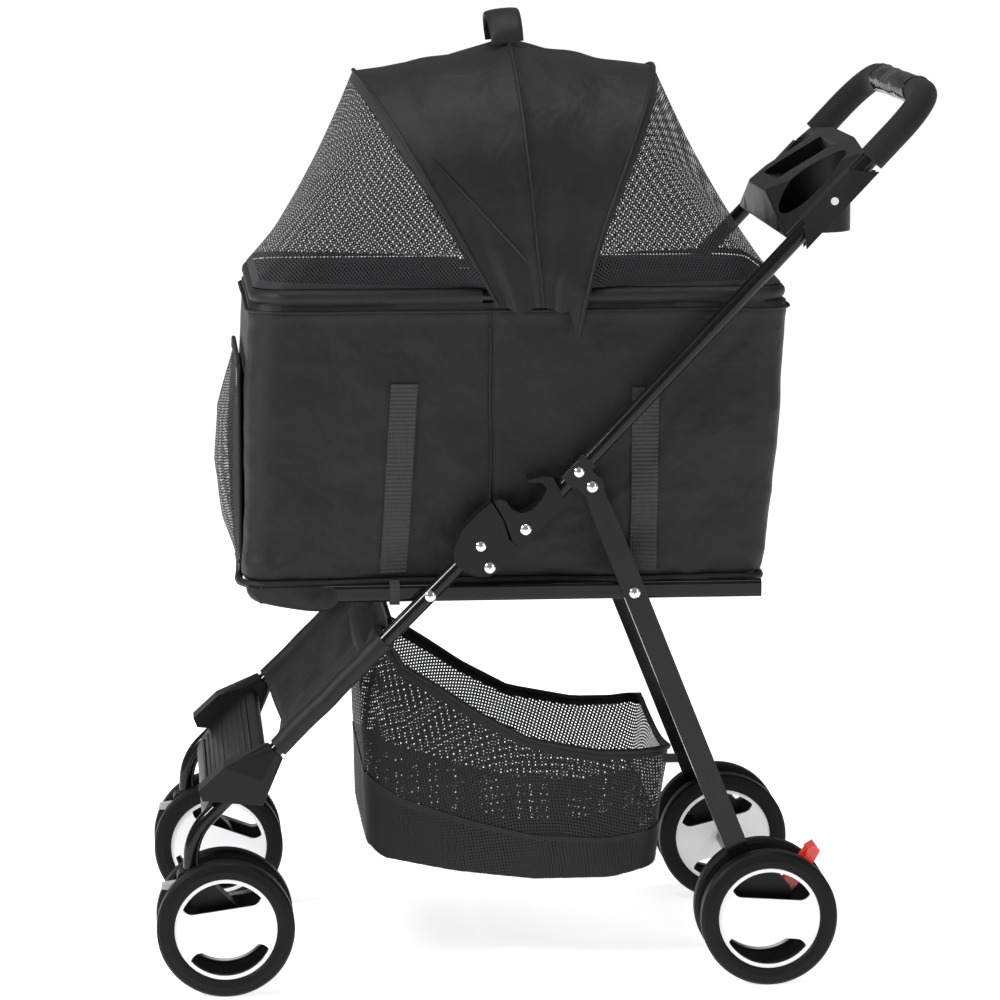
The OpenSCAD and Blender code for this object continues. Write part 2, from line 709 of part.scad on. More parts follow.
/* ---- cabin ---- */
cab_y0 = -302;
cab_y1 = 248;
wall = 3;
rim_r = 5;
door_x = 118;
door_z0 = cabin_z0 + 13;
door_z1 = rim_z - 78;
bead_gap = [-66, -50];
module cabin_side(d, z0, z1) {
    polygon([[cab_y0 + 8 + d, z0], [cab_y0 - 1 + d, z0 + 14], [cab_y0 + 2 + d, z1], [cab_y1 - d, z1],
        [cab_y1 + 3 - d, rim_z - 40], [cab_y1 - 24 - d, z0 + 12], [cab_y1 - 32 - d, z0]]);
}
module rim_ring(r) {
    x = cabin_x - 8 + 3;
    c = 34;
    both() {
        rod(x, [cab_y0 + 10 + c, rim_z], [cab_y1 - 8 - c, rim_z], r);
        for (k = [0, 1]) translate([x - c, k > 0 ? cab_y1 - 8 - c : cab_y0 + 10 + c, rim_z])
            rotate(k > 0 ? 0 : -90) rotate_extrude(angle = 90) translate([c, 0]) circle(r = r);
    }
    for (y = [cab_y0 + 10, cab_y1 - 8]) rodx(-x + c, x - c, [y, rim_z], r);
}
module cabin_body() {
    color("#26262a") difference() {
        union() {
            difference() {
                slab(-cabin_x, cabin_x) cabin_side(0, cabin_z0, rim_z - 6);
                slab(-cabin_x + wall, cabin_x - wall) cabin_side(wall, cabin_z0 + wall, rim_z + 30);
            }
            difference() {
                translate([0, 0, rim_z - 9]) linear_extrude(17) difference() {
                    rrect(-cabin_x - 4, cabin_x + 4, cab_y0 - 1, cab_y1 + 3, 38);
                    rrect(-cabin_x + 13, cabin_x - 13, cab_y0 + 18, cab_y1 - 16, 24);
                }
                translate([-200, bead_gap[0], rim_z - 6]) cube([400, bead_gap[1] - bead_gap[0], 30]);
            }
        }
        rim_ring(rim_r);
        both() translate([cabin_x - 23, hoop_p[0] - 9.4, rim_z - 4.4]) cube([16, 18.8, 8.8]);
        translate([-door_x, cab_y0 - 10, door_z0]) cube([2 * door_x, 30, door_z1 - door_z0]);
    }
}
module cabin_mat() {
    color("#3a3a3e") translate([0, 0, cabin_z0 + wall + 0.3]) linear_extrude(14)
        rrect(-cabin_x + wall + 4, cabin_x - wall - 4, cab_y0 + 17, cab_y1 - 42, 20);
}
module rim_frame() {
    color("#1b1b1d") rim_ring(rim_r);
    color("#1b1b1d") both() {
        translate([cabin_x - 22, hoop_p[0] - 9, rim_z - 4]) cube([6, 18, 26]);
        translate([cabin_x - 20, hoop_p[0] - 9, rim_z - 4]) cube([12, 18, 8]);
        rodx(cabin_x - 22, cabin_x + 3, hoop_p, 3);
    }
}
module side_straps() {
    color("#2b2b2e") both() for (y = [[-144, -156], [101, 99]])
        plate(cabin_x + 0.2, cabin_x + 1.4, [[y[0] - 13.5, rim_z - 87], [y[0] + 13.5, rim_z - 90],
            [y[1] + 13.5, cabin_z0 + 10], [y[1] - 13.5, cabin_z0 + 10]]);
}
door_p = [cab_y0 - 4.4, door_z0 - 6];
module front_door() {
    color("#1e1e20") plate(-door_x - 6, door_x + 6, concat([[cab_y0 - 3, door_z0 - 8], [cab_y0 - 5.5, door_z0 - 8]],
        [for (i = [0 : 8]) [cab_y0 - 6 - 24 * sin(20 * i + 10), door_z0 + (door_z1 - door_z0) * i / 8]],
        [[cab_y0 - 5.5, door_z1 + 8], [cab_y0 - 1, door_z1 + 8]],
        [for (i = [8 : -1 : 0]) [cab_y0 - 3 - 24 * sin(20 * i + 10), door_z0 + (door_z1 - door_z0) * i / 8]]));
}
module zip_pull() {
    color("#1b1b1d") translate([door_x + 12, cab_y0 - 5.2, door_z0 - 8]) cube([5, 2.6, 16]);
}
// arch in its own plane, x across and y up from the pivot line
module arch(rx, top, r) {
    for (k = [-1, 1]) translate([k * rx, 5, 0]) rotate([-90, 0, 0]) cylinder(r = r, h = top - rx - 5);
    translate([0, top - rx, 0]) rotate_extrude(angle = 180) translate([rx, 0]) circle(r = r);
}
module tilt(a) {
    translate([0, hoop_p[0], hoop_p[1]]) rotate([90 + a, 0, 0]) children();
}
module hoop(rx, top, a) {
    difference() {
        union() {
            tilt(a) arch(rx, top, 2.2);
            for (k = [-1, 1]) rodx(k * rx - 2.3, k * rx + 2.3, hoop_p, 7);
        }
        for (k = [-1, 1]) rodx(k * rx - 5, k * rx + 5, hoop_p, 3 + run);
    }
}
hx = [cabin_x - 11.5, cabin_x - 6, cabin_x - 0.5];
module rear_hoop() {
    color("#1b1b1d") hoop(hx[0], hoop_rear_r, rear_a);
}
module mid_hoop() {
    color("#1b1b1d") hoop(hx[1], hoop_mid_r, mid_a);
}
module front_hoop() {
    color("#1b1b1d") hoop(hx[2], hoop_front_r, front_a);
}
// arch outline as a flat list of points
function arch_pts(rx, top, n = 20) = concat([[rx, 14]], [for (i = [0 : n]) let (a = 180 * i / n)
    [rx * cos(a), top - rx + rx * sin(a)]], [[-rx, 14]]);
// ruled shell from the arch at angle a0 to the arch at a1, off outside the hoops
module shell(rx0, top0, a0, rx1, top1, a1, off, t) {
    difference() {
        hull() {
            tilt(a0) linear_extrude(0.5) polygon(arch_pts(rx0 + off + t, top0 + off + t));
            tilt(a1) linear_extrude(0.5) polygon(arch_pts(rx1 + off + t, top1 + off + t));
        }
        hull() {
            tilt(a0 + 0.4) linear_extrude(0.5) polygon(arch_pts(rx0 + off, top0 + off));
            tilt(a1 - 0.4) linear_extrude(0.5) polygon(arch_pts(rx1 + off, top1 + off));
        }
        translate([-cabin_x - 20, hoop_p[0] - 26, hoop_p[1]]) cube([2 * cabin_x + 40, 52, 20]);
    }
}
module canopy_rear() {
    color("#26262a") shell(hx[1], hoop_mid_r, mid_a - 0.8, hx[0], hoop_rear_r + 0.7, rear_a - 0.3, 3.6, 1.4);
}
module canopy_front() {
    color("#26262a") shell(hx[2], hoop_front_r + 1.8, front_a + 0.3, hx[1], hoop_mid_r, mid_a + 0.6, 3.6, 1.4);
}
module mesh_body(rx, top, a, off, y0, y1, z0) {
    hull() {
        tilt(a) translate([0, 0, off]) linear_extrude(1) polygon(arch_pts(rx, top));
        translate([-rx, y0, z0]) cube([2 * rx, y1 - y0, 4]);
    }
}
// sheet from the front hoop forward and down to the cabin rim
module front_mesh() {
    rx = hx[2] + 0.5;
    z0 = rim_z + 9;
    color("#3a3a3e") difference() {
        mesh_body(rx, hoop_front_r + 1, front_a, 3.2, cab_y0 + 2, cab_y0 + 8, z0);
        mesh_body(rx - 2, hoop_front_r - 1, front_a, 1.8, cab_y0 + 4.5, cab_y0 + 11, z0 - 3);
        translate([-200, hoop_p[0] - 14, rim_z]) cube([400, 200, 60]);
    }
}
// sheet from the rear hoop back and down to the cabin rim
module rear_mesh() {
    rx = hx[0];
    z0 = rim_z + 9;
    color("#3a3a3e") difference() {
        mesh_body(rx, hoop_rear_r - 1, rear_a, -4.4, cab_y1 - 8, cab_y1 - 2, z0);
        mesh_body(rx - 2, hoop_rear_r - 3, rear_a, -2.9, cab_y1 - 11, cab_y1 - 4.5, z0 - 3);
        translate([-200, -60, rim_z]) cube([400, hoop_p[0] + 74, 60]);
    }
}
// padded loop along X over the top of the middle hoop
module carry_handle() {
    z0 = hoop_mid_r + 1.2;
    color("#1b1b1d") tilt(mid_a) translate([0, 0, -15]) linear_extrude(32)
        polygon(concat([for (i = [0 : 16]) [46 * cos(i * 11.25), z0 + 33.6 * sin(i * 11.25)]],
            [for (i = [16 : -1 : 0]) [40 * cos(i * 11.25), z0 + 28 * sin(i * 11.25)]]));
}

seat_rail_left();
seat_rail_right();
seat_cross_tubes();
frame_rivets();
front_wrap();
basket();
basket_straps();
front_tube_left();
front_tube_right();
footrest();
tube_cover_left();
tube_cover_right();
leg_panel();
fold_housings();
housing_rivets();
push_handle();
grip_left();
grip_right();
grip_wrap();
parent_tray();
handle_rivets();
leg_brackets();
latch_left();
latch_right();
latch_pin_left();
latch_pin_right();
rear_leg_left();
rear_leg_right();
rear_cross_tube();
axle_blocks();
rear_axle();
brake_pedal();
caster_fork_left();
caster_fork_right();
caster_axle_left();
caster_axle_right();
swivel_lock_left();
swivel_lock_right();
wheels_front_left();
wheels_front_right();
wheels_rear_left();
wheels_rear_right();
covers_front_left();
covers_front_right();
covers_rear_left();
covers_rear_right();
cabin_body();
cabin_mat();
rim_frame();
side_straps();
front_door();
zip_pull();
rear_hoop();
rear_mesh();
mid_hoop();
carry_handle();
canopy_rear();
front_hoop();
canopy_front();
front_mesh();
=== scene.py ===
import bpy
import json
import math
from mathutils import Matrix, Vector, noise


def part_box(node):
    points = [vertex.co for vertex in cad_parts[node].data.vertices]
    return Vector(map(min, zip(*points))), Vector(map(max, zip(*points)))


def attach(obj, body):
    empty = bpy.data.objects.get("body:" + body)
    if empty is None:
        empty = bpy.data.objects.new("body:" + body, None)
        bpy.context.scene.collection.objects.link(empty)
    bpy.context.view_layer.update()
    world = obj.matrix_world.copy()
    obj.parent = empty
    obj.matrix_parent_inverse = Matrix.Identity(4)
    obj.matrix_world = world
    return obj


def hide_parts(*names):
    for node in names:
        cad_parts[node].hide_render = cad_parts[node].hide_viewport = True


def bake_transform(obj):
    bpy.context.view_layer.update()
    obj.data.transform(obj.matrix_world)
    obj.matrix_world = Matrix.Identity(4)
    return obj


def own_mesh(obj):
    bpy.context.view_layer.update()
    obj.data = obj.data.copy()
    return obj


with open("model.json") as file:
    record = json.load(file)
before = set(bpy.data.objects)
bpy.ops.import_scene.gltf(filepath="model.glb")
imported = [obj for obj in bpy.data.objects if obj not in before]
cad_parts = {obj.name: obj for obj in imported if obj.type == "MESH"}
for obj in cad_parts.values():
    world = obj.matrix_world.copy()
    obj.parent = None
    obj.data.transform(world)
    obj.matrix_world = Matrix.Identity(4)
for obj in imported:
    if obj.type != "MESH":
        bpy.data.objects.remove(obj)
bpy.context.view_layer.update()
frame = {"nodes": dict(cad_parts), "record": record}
nodes = frame["nodes"]

# ---- places read from the frame, metres ----
body_lo, body_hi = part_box("cabin_body")
rail_lo, rail_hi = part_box("seat_rail_left")
RIM_X = 0.158
RIM_Z = 0.706
RIM_Y0 = body_lo.y + 0.011
RIM_Y1 = body_hi.y - 0.011
RIM_CORNER = 0.034
SLEEVE_R = 0.0078
NET_Z = RIM_Z + 0.0085
HINGE_Y = -0.002
HINGE_Z = 0.722
TUBE_X = 0.180
FLOOR_Z = body_lo.z + 0.001
FOLD = [0, -0.12, 0.405]
AMBIENT = 0.24
GRAIN = math.radians(12)
WELD = 0.0001


def clamp(v, lo=0.0, hi=1.0):
    return max(lo, min(hi, v))


def ease(a, b, v):
    t = clamp((v - a) / (b - a))
    return t * t * (3 - 2 * t)


def mix(a, b, t):
    return a + (b - a) * t


def curve(points, v):
    """Value at v on straight lines between (place, value) points."""
    if v <= points[0][0]:
        return points[0][1]
    for (a, fa), (b, fb) in zip(points, points[1:]):
        if v <= b:
            return mix(fa, fb, (v - a) / (b - a))
    return points[-1][1]


def ripple(x, y, z, seed=0.0):
    return noise.noise(Vector((x, y, z + seed)))


# ---- node materials ----
def new_material(name):
    mat = bpy.data.materials.new(name)
    mat.use_nodes = True
    tree = mat.node_tree
    tree.nodes.clear()
    out = tree.nodes.new("ShaderNodeOutputMaterial")
    bsdf = tree.nodes.new("ShaderNodeBsdfPrincipled")
    tree.links.new(bsdf.outputs[0], out.inputs[0])
    return mat, tree, bsdf, out


def add(tree, kind, **values):
    node = tree.nodes.new(kind)
    for key, value in values.items():
        if hasattr(node, key):
            setattr(node, key, value)
        else:
            node.inputs[key.replace("_", " ")].default_value = value
    return node


def math_node(tree, op, a, b=None, c=None):
    node = tree.nodes.new("ShaderNodeMath")
    node.operation = op
    for i, v in enumerate((a, b, c)):
        if v is None:
            continue
        if isinstance(v, (int, float)):
            node.inputs[i].default_value = v
        else:
            tree.links.new(v, node.inputs[i])
    return node.outputs[0]


def ramp(tree, fac, stops):
    node = tree.nodes.new("ShaderNodeValToRGB")
    while len(node.color_ramp.elements) < len(stops):
        node.color_ramp.elements.new(0.5)
    for e, (pos, col) in zip(node.color_ramp.elements, stops):
        e.position = pos
        e.color = (*col, 1)
    tree.links.new(fac, node.inputs[0])
    return node.outputs[0]


def bump(tree, height, strength, distance, normal=None):
    node = tree.nodes.new("ShaderNodeBump")
    node.inputs["Strength"].default_value = strength
    node.inputs["Distance"].default_value = distance
    tree.links.new(height, node.inputs["Height"])
    if normal is not None:
        tree.links.new(normal, node.inputs["Normal"])
    return node.outputs[0]


def hard_material(name, color, rough, grain, grain_depth, spread=0.25, metal=0.0, coat=0.0, sheen=0.0,
                  detail=4, shine=0.5):
    """Moulded, painted or metal finish: mottled colour, uneven roughness and a fine surface grain."""
    mat, tree, bsdf, out = new_material(name)
    coord = tree.nodes.new("ShaderNodeTexCoord")
    broad = add(tree, "ShaderNodeTexNoise", Scale=22.0, Detail=3.0)
    fine = add(tree, "ShaderNodeTexNoise", Scale=grain, Detail=float(detail))
    for n in (broad, fine):
        tree.links.new(coord.outputs["Object"], n.inputs["Vector"])
    dark = [c * (1 - spread) for c in color]
    light = [min(1, c * (1 + spread)) for c in color]
    tree.links.new(ramp(tree, broad.outputs[0], [(0.3, dark), (0.7, light)]), bsdf.inputs["Base Color"])
    r = math_node(tree, "MULTIPLY_ADD", broad.outputs[0], rough * 0.5, rough * 0.75)
    tree.links.new(r, bsdf.inputs["Roughness"])
    tree.links.new(bump(tree, fine.outputs[0], 0.6, grain_depth), bsdf.inputs["Normal"])
    bsdf.inputs["Metallic"].default_value = metal
    bsdf.inputs["Coat Weight"].default_value = coat
    bsdf.inputs["Specular IOR Level"].default_value = shine
    bsdf.inputs["Coat Roughness"].default_value = 0.06
    bsdf.inputs["Sheen Weight"].default_value = sheen
    bsdf.inputs["Sheen Roughness"].default_value = 0.5
    return mat


def cloth_material(name, color, pitch=0.0011, sheen=0.06, rough=0.66, crease=0.0022, open_share=0.0, hole=0.0024):
    """Woven cloth on its own cut. With open_share above 0 it is a net, see-through except where the edge tape is."""
    mat, tree, bsdf, out = new_material(name)
    coord = tree.nodes.new("ShaderNodeTexCoord")
    uv = add(tree, "ShaderNodeUVMap", uv_map="cut")
    sep = tree.nodes.new("ShaderNodeSeparateXYZ")
    tree.links.new(uv.outputs[0], sep.inputs[0])
    u, v = sep.outputs[0], sep.outputs[1]
    warp = math_node(tree, "SINE", math_node(tree, "MULTIPLY", u, 2 * math.pi / pitch))
    weft = math_node(tree, "SINE", math_node(tree, "MULTIPLY", v, 2 * math.pi / pitch))
    weave = math_node(tree, "MULTIPLY_ADD", math_node(tree, "MULTIPLY", warp, weft), 0.5, 0.5)
    broad = add(tree, "ShaderNodeTexNoise", Scale=9.0, Detail=5.0, Roughness=0.6)
    folds = add(tree, "ShaderNodeTexNoise", Scale=20.0, Detail=3.0, Distortion=0.25)
    for n in (broad, folds):
        tree.links.new(coord.outputs["Object"], n.inputs["Vector"])
    tone = math_node(tree, "MULTIPLY_ADD", weave, 0.25, math_node(tree, "MULTIPLY", broad.outputs[0], 0.75))
    low = [c * 0.62 for c in color]
    high = [min(1, c * 1.5) for c in color]
    tree.links.new(ramp(tree, tone, [(0.25, low), (0.75, high)]), bsdf.inputs["Base Color"])
    soft = bump(tree, folds.outputs[0], 0.8, crease)
    tree.links.new(bump(tree, weave, 0.35, 0.00025, soft), bsdf.inputs["Normal"])
    tree.links.new(math_node(tree, "MULTIPLY_ADD", broad.outputs[0], 0.2, rough - 0.1), bsdf.inputs["Roughness"])
    bsdf.inputs["Sheen Weight"].default_value = sheen
    bsdf.inputs["Sheen Roughness"].default_value = 0.45
    bsdf.inputs["Specular IOR Level"].default_value = 0.27
    if open_share > 0:
        edge = add(tree, "ShaderNodeAttribute", attribute_name="tape")
        cells = []
        turned = []
        for a, b, k in ((u, v, 1), (v, u, -1)):
            across = math_node(tree, "MULTIPLY", b, k * math.sin(GRAIN))
            turned.append(math_node(tree, "MULTIPLY_ADD", a, math.cos(GRAIN), across))
        for c in turned:
            w = math_node(tree, "SINE", math_node(tree, "MULTIPLY", c, math.pi / hole))
            cells.append(math_node(tree, "ABSOLUTE", w))
        smallest = math_node(tree, "MINIMUM", cells[0], cells[1])
        thread = math_node(tree, "LESS_THAN", smallest, 1.0 - open_share)
        solid = math_node(tree, "MAXIMUM", thread, math_node(tree, "GREATER_THAN", edge.outputs["Fac"], 0.5))
        tree.links.new(solid, bsdf.inputs["Alpha"])
    return mat


def webbing_material(name, color):
    """Woven strap: cross ribs and lengthwise cords, on the strap's own cut."""
    mat, tree, bsdf, out = new_material(name)
    coord = tree.nodes.new("ShaderNodeTexCoord")
    uv = add(tree, "ShaderNodeUVMap", uv_map="cut")
    sep = tree.nodes.new("ShaderNodeSeparateXYZ")
    tree.links.new(uv.outputs[0], sep.inputs[0])
    u, v = sep.outputs[0], sep.outputs[1]
    ribs = math_node(tree, "SINE", math_node(tree, "MULTIPLY", v, 2 * math.pi / 0.0042))
    cords = math_node(tree, "SINE", math_node(tree, "MULTIPLY", u, 2 * math.pi / 0.0030))
    height = math_node(tree, "MULTIPLY_ADD", ribs, 0.35, math_node(tree, "MULTIPLY_ADD", cords, 0.15, 0.5))
    fuzz = add(tree, "ShaderNodeTexNoise", Scale=160.0, Detail=3.0)
    tree.links.new(coord.outputs["Object"], fuzz.inputs["Vector"])
    tone = math_node(tree, "MULTIPLY_ADD", fuzz.outputs[0], 0.5, math_node(tree, "MULTIPLY", height, 0.5))
    shades = ramp(tree, tone, [(0.2, [c * 0.5 for c in color]), (0.8, [c * 1.7 for c in color])])
    tree.links.new(shades, bsdf.inputs["Base Color"])
    tree.links.new(bump(tree, height, 0.8, 0.0008), bsdf.inputs["Normal"])
    bsdf.inputs["Roughness"].default_value = 0.6
    bsdf.inputs["Sheen Weight"].default_value = 0.08
    return mat


FINISH = {
    "frame_black": hard_material("black enamel", (0.005, 0.005, 0.0055), 0.16, 220.0, 0.00003, coat=0.10, shine=0.2),
    "rivet_silver": hard_material("plated rivet", (0.75, 0.75, 0.76), 0.18, 300.0, 0.00004, metal=1.0),
    "plastic_black": hard_material("grained black plastic", (0.007, 0.007, 0.0075), 0.40, 900.0, 0.00012, shine=0.2),
    "foam_black": hard_material("black foam", (0.007, 0.007, 0.0075), 0.8, 700.0, 0.0005, sheen=0.04, shine=0.25),
    "vinyl_black": hard_material("glossy black vinyl", (0.006, 0.006, 0.0065), 0.2, 70.0, 0.0016, coat=0.3,
                                 detail=3, shine=0.4),
    "axle_steel": hard_material("axle steel", (0.55, 0.55, 0.56), 0.3, 400.0, 0.00005, metal=1.0),
    "pedal_red": hard_material("red pedal plastic", (0.75, 0.035, 0.018), 0.28, 500.0, 0.00006, spread=0.08,
                               coat=0.3),
    "lever_grey": hard_material("grey lever plastic", (0.50, 0.51, 0.53), 0.4, 500.0, 0.00008, spread=0.08),
    "tyre_black": hard_material("foam rubber tyre", (0.005, 0.005, 0.0055), 0.5, 500.0, 0.00018, shine=0.14),
    "cover_white": hard_material("white wheel cover", (0.82, 0.82, 0.83), 0.22, 300.0, 0.00003, spread=0.03,
                                 coat=0.5),
    "hoop_black": hard_material("black coated wire", (0.007, 0.007, 0.0075), 0.3, 300.0, 0.00005, shine=0.3),
    "cloth_black": cloth_material("black polyester cloth", (0.0068, 0.0068, 0.0076), sheen=0.012, rough=0.52,
                                  crease=0.0060),
    "mesh_black": cloth_material("black net", (0.013, 0.013, 0.0145), open_share=0.36, hole=0.0030),
    "mat_grey": cloth_material("mat cloth", (0.03, 0.03, 0.033), pitch=0.0018),
}
BASKET_NET = cloth_material("basket net", (0.009, 0.009, 0.010), open_share=0.20, hole=0.0034)
WEBBING = webbing_material("black webbing", (0.008, 0.008, 0.0085))


# ---- mesh tools ----
def lone(obj):
    bpy.ops.object.select_all(action="DESELECT")
    obj.select_set(True)
    bpy.context.view_layer.objects.active = obj


def apply_all(obj):
    lone(obj)
    for m in list(obj.modifiers):
        bpy.ops.object.modifier_apply(modifier=m.name)


def thicken(obj, t, offset=-1.0):
    m = obj.modifiers.new("wall", "SOLIDIFY")
    m.thickness = t
    m.offset = offset
    apply_all(obj)


def refine(obj, levels=1):
    m = obj.modifiers.new("smooth", "SUBSURF")
    m.levels = levels
    m.render_levels = levels
    apply_all(obj)


def weld(obj, threshold=0.00002, cap=False, outward=True):
    """Joins doubled points, and can close the open ends and turn the faces outward."""
    lone(obj)
    bpy.ops.object.mode_set(mode="EDIT")
    bpy.ops.mesh.select_all(action="SELECT")
    bpy.ops.mesh.remove_doubles(threshold=threshold)
    if cap:
        bpy.ops.mesh.fill_holes(sides=0)
    if outward:
        bpy.ops.mesh.normals_make_consistent(inside=False)
    bpy.ops.object.mode_set(mode="OBJECT")


def smooth_faces(obj, angle=50):
    lone(obj)
    bpy.ops.object.shade_smooth_by_angle(angle=math.radians(angle))


def sheet_mesh(name, rows, wrap=False, keep=None, tape=None, material="cloth_black"):
    """A cloth surface through rows of points. Its cut map is in metres along and across the cloth."""
    n = len(rows[0])
    verts = [tuple(p) for row in rows for p in row]
    faces = []
    cols = n if wrap else n - 1
    for j in range(len(rows) - 1):
        for i in range(cols):
            k = (i + 1) % n
            centre = (rows[j][i] + rows[j][k] + rows[j + 1][i] + rows[j + 1][k]) / 4
            if keep and not keep(centre, i / cols, j / (len(rows) - 1)):
                continue
            faces.append((j * n + i, j * n + k, (j + 1) * n + k, (j + 1) * n + i))
    mesh = bpy.data.meshes.new(name)
    mesh.from_pydata(verts, [], faces)
    obj = bpy.data.objects.new(name, mesh)
    bpy.context.scene.collection.objects.link(obj)
    along = [0.0]
    mid = rows[len(rows) // 2]
    for i in range(cols):
        along.append(along[-1] + (mid[(i + 1) % n] - mid[i]).length)
    across = []
    for i in range(n):
        line = [0.0]
        for j in range(len(rows) - 1):
            line.append(line[-1] + (rows[j + 1][i] - rows[j][i]).length)
        across.append(line)
    layer = mesh.uv_layers.new(name="cut")
    for poly in mesh.polygons:
        ids = [mesh.loops[l].vertex_index for l in poly.loop_indices]
        last = any(v % n == n - 1 for v in ids) and any(v % n == 0 for v in ids)
        for l, v in zip(poly.loop_indices, ids):
            i, j = v % n, v // n
            u = along[n] if (wrap and last and i == 0) else along[i]
            layer.data[l].uv = (u, across[i][j])
    if tape:
        attribute = mesh.attributes.new("tape", "FLOAT", "POINT")
        attribute.data.foreach_set("value", [tape(j // n, j % n, Vector(v)) for j, v in enumerate(verts)])
    mesh.materials.append(FINISH.get(material) or material)
    return obj


def finish_sheet(obj, wall, body, replaces=(), levels=0, angle=60):
    weld(obj)
    if levels:
        refine(obj, levels)
    if wall:
        thicken(obj, wall)
    smooth_faces(obj, angle)
    if body:
        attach(obj, body)
    if replaces:
        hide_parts(*replaces)
    return obj


def area_of(obj):
    return sum(p.area for p in obj.data.polygons)


def tube_along(name, points, radius, sides=10, closed=False):
    """A round cord of cloth or wire through points, open at its ends unless it runs round in a loop."""
    rings = []
    count = len(points)
    for i, p in enumerate(points):
        a = points[(i - 1) % count] if (closed or i > 0) else p
        b = points[(i + 1) % count] if (closed or i < count - 1) else p
        t = (b - a).normalized()
        side = t.cross(Vector((0, 0, 1)))
        if side.length < 0.1:
            side = t.cross(Vector((1, 0, 0)))
        side.normalize()
        up = side.cross(t).normalized()
        turns = [2 * math.pi * k / sides for k in range(sides)]
        rings.append([p + side * radius * math.cos(a) + up * radius * math.sin(a) for a in turns])
    if closed:
        rings.append(rings[0])
    return sheet_mesh(name, rings, wrap=True)


def rounded(hx, y0, y1, r, side=30, corner=10):
    """Points round a rectangle with round corners, along its left side first, with their outward directions."""
    out = []
    corners = [(hx - r, y1 - r, 0), (-hx + r, y1 - r, 90), (-hx + r, y0 + r, 180), (hx - r, y0 + r, 270)]
    starts = [(hx, y0 + r, hx, y1 - r, 1, 0), (hx - r, y1, -hx + r, y1, 0, 1), (-hx, y1 - r, -hx, y0 + r, -1, 0),
              (-hx + r, y0, hx - r, y0, 0, -1)]
    for (xa, ya, xb, yb, nx, ny), (cx, cy, a0) in zip(starts, corners):
        for i in range(side):
            t = i / side
            out.append((mix(xa, xb, t), mix(ya, yb, t), nx, ny))
        for i in range(corner):
            a = math.radians(a0 + 90 * i / corner)
            out.append((cx + r * math.cos(a), cy + r * math.sin(a), math.cos(a), math.sin(a)))
    return out


# ---- cabin cloth ----
WALL_TOP = 0.697
FRONT = [(0.0, -0.305), (0.5, -0.304), (1.0, -0.299)]
SEAM_Y = -0.057
BACK = [(0.0, 0.224), (0.3, 0.234), (0.8, 0.244), (1.0, 0.247)]


def wall_bulge(y, z, x):
    """How far the cabin cloth stands off its flat panel at a place."""
    t = clamp((z - FLOOR_Z) / (WALL_TOP - FLOOR_Z))
    s = 0.0035 * math.sin(math.pi * t)
    low = (1 - t) ** 2
    s += 0.0062 * (0.45 + low) * ripple(y * 7 + z * 5, z * 15 - y * 3, x * 3)
    s += 0.0065 * (0.35 + low) * (0.5 - abs(ripple(y * 11 - z * 9, z * 15 + y * 6, x * 5, 4.0))) ** 2
    s += 0.0050 * (0.30 + low) * (0.5 - abs(ripple(y * 19 + z * 8, z * 24 - y * 9, x * 7, 13.0))) ** 3
    s += 0.0016 * ripple(y * 34 - z * 20, z * 38, x * 9, 9.0) * (0.3 + low)
    s += 0.0022 * math.exp(-((z - FLOOR_Z - 0.045 - 0.25 * (y + 0.1) ** 2) / 0.007) ** 2) * ripple(y * 10, 0, x)
    s += 0.0018 * math.exp(-((t - 0.97) / 0.02) ** 2)
    s -= 0.0022 * math.exp(-((y - SEAM_Y) / 0.005) ** 2) * ease(0.28, 0.34, t) * ease(1.0, 0.94, t)
    return s


def side_x(y, z):
    return RIM_X + 0.0005 + wall_bulge(y, z, RIM_X)


def cabin():
    rows = []
    ring0 = rounded(RIM_X, FRONT[0][1], BACK[0][1], 0.03, 84)
    for k in (0.0, 0.35, 0.7, 0.92):
        rows.append([Vector((x * k, mix(-0.04, y, k), FLOOR_Z - 0.0006 * ripple(x * 9, y * 9, 0)))
                     for x, y, a, b in ring0])
    levels = 64
    for j in range(levels + 1):
        t = j / levels
        z = mix(FLOOR_Z, WALL_TOP, t)
        r = mix(0.022, RIM_CORNER, t)
        soft = 0.003 * (1 - ease(0, 0.02, t))
        row = []
        for x, y, nx, ny in rounded(RIM_X - soft, curve(FRONT, t) + soft, curve(BACK, t) - soft, r, 84):
            d = wall_bulge(y, z, x) * (1 if abs(nx) > 0.5 else 0.6)
            row.append(Vector((x + nx * d, y + ny * d, z)))
        rows.append(row)
    for k in range(11):
        a = math.radians(-62 + 30 * k)
        row = []
        for x, y, nx, ny in rounded(RIM_X, RIM_Y0, RIM_Y1, RIM_CORNER, 84):
            d = (SLEEVE_R + 0.0008 * ripple(x * 30, y * 40, k * 0.2)) * math.cos(a)
            row.append(Vector((x + nx * d, y + ny * d, RIM_Z + SLEEVE_R * math.sin(a))))
        rows.append(row)
    for k in range(1, 6):
        row = []
        for x, y, nx, ny in rounded(RIM_X, RIM_Y0, RIM_Y1, RIM_CORNER, 84):
            d = -0.0070 - 0.0012 * ripple(y * 25, x * 20, k * 0.3)
            row.append(Vector((x + nx * d, y + ny * d, RIM_Z - 0.005 - 0.006 * k)))
        rows.append(row)
    wall0, wall1 = 4, 4 + levels

    def keep(c, u, v):
        j = v * (len(rows) - 1)
        if c.y < -0.27 and abs(c.x) < 0.110 and 0.434 < c.z < 0.622 and wall0 <= j <= wall1:
            return False
        return not (j >= wall1 + 1 and -0.066 < c.y < -0.051 and abs(c.x) > 0.12)

    obj = sheet_mesh("cabin_cloth", rows, wrap=True, keep=keep)
    weld(obj, WELD, outward=False)
    finish_sheet(obj, 0.0014, "cabin", ("cabin_body",))
    return obj


cabin_cloth = cabin()


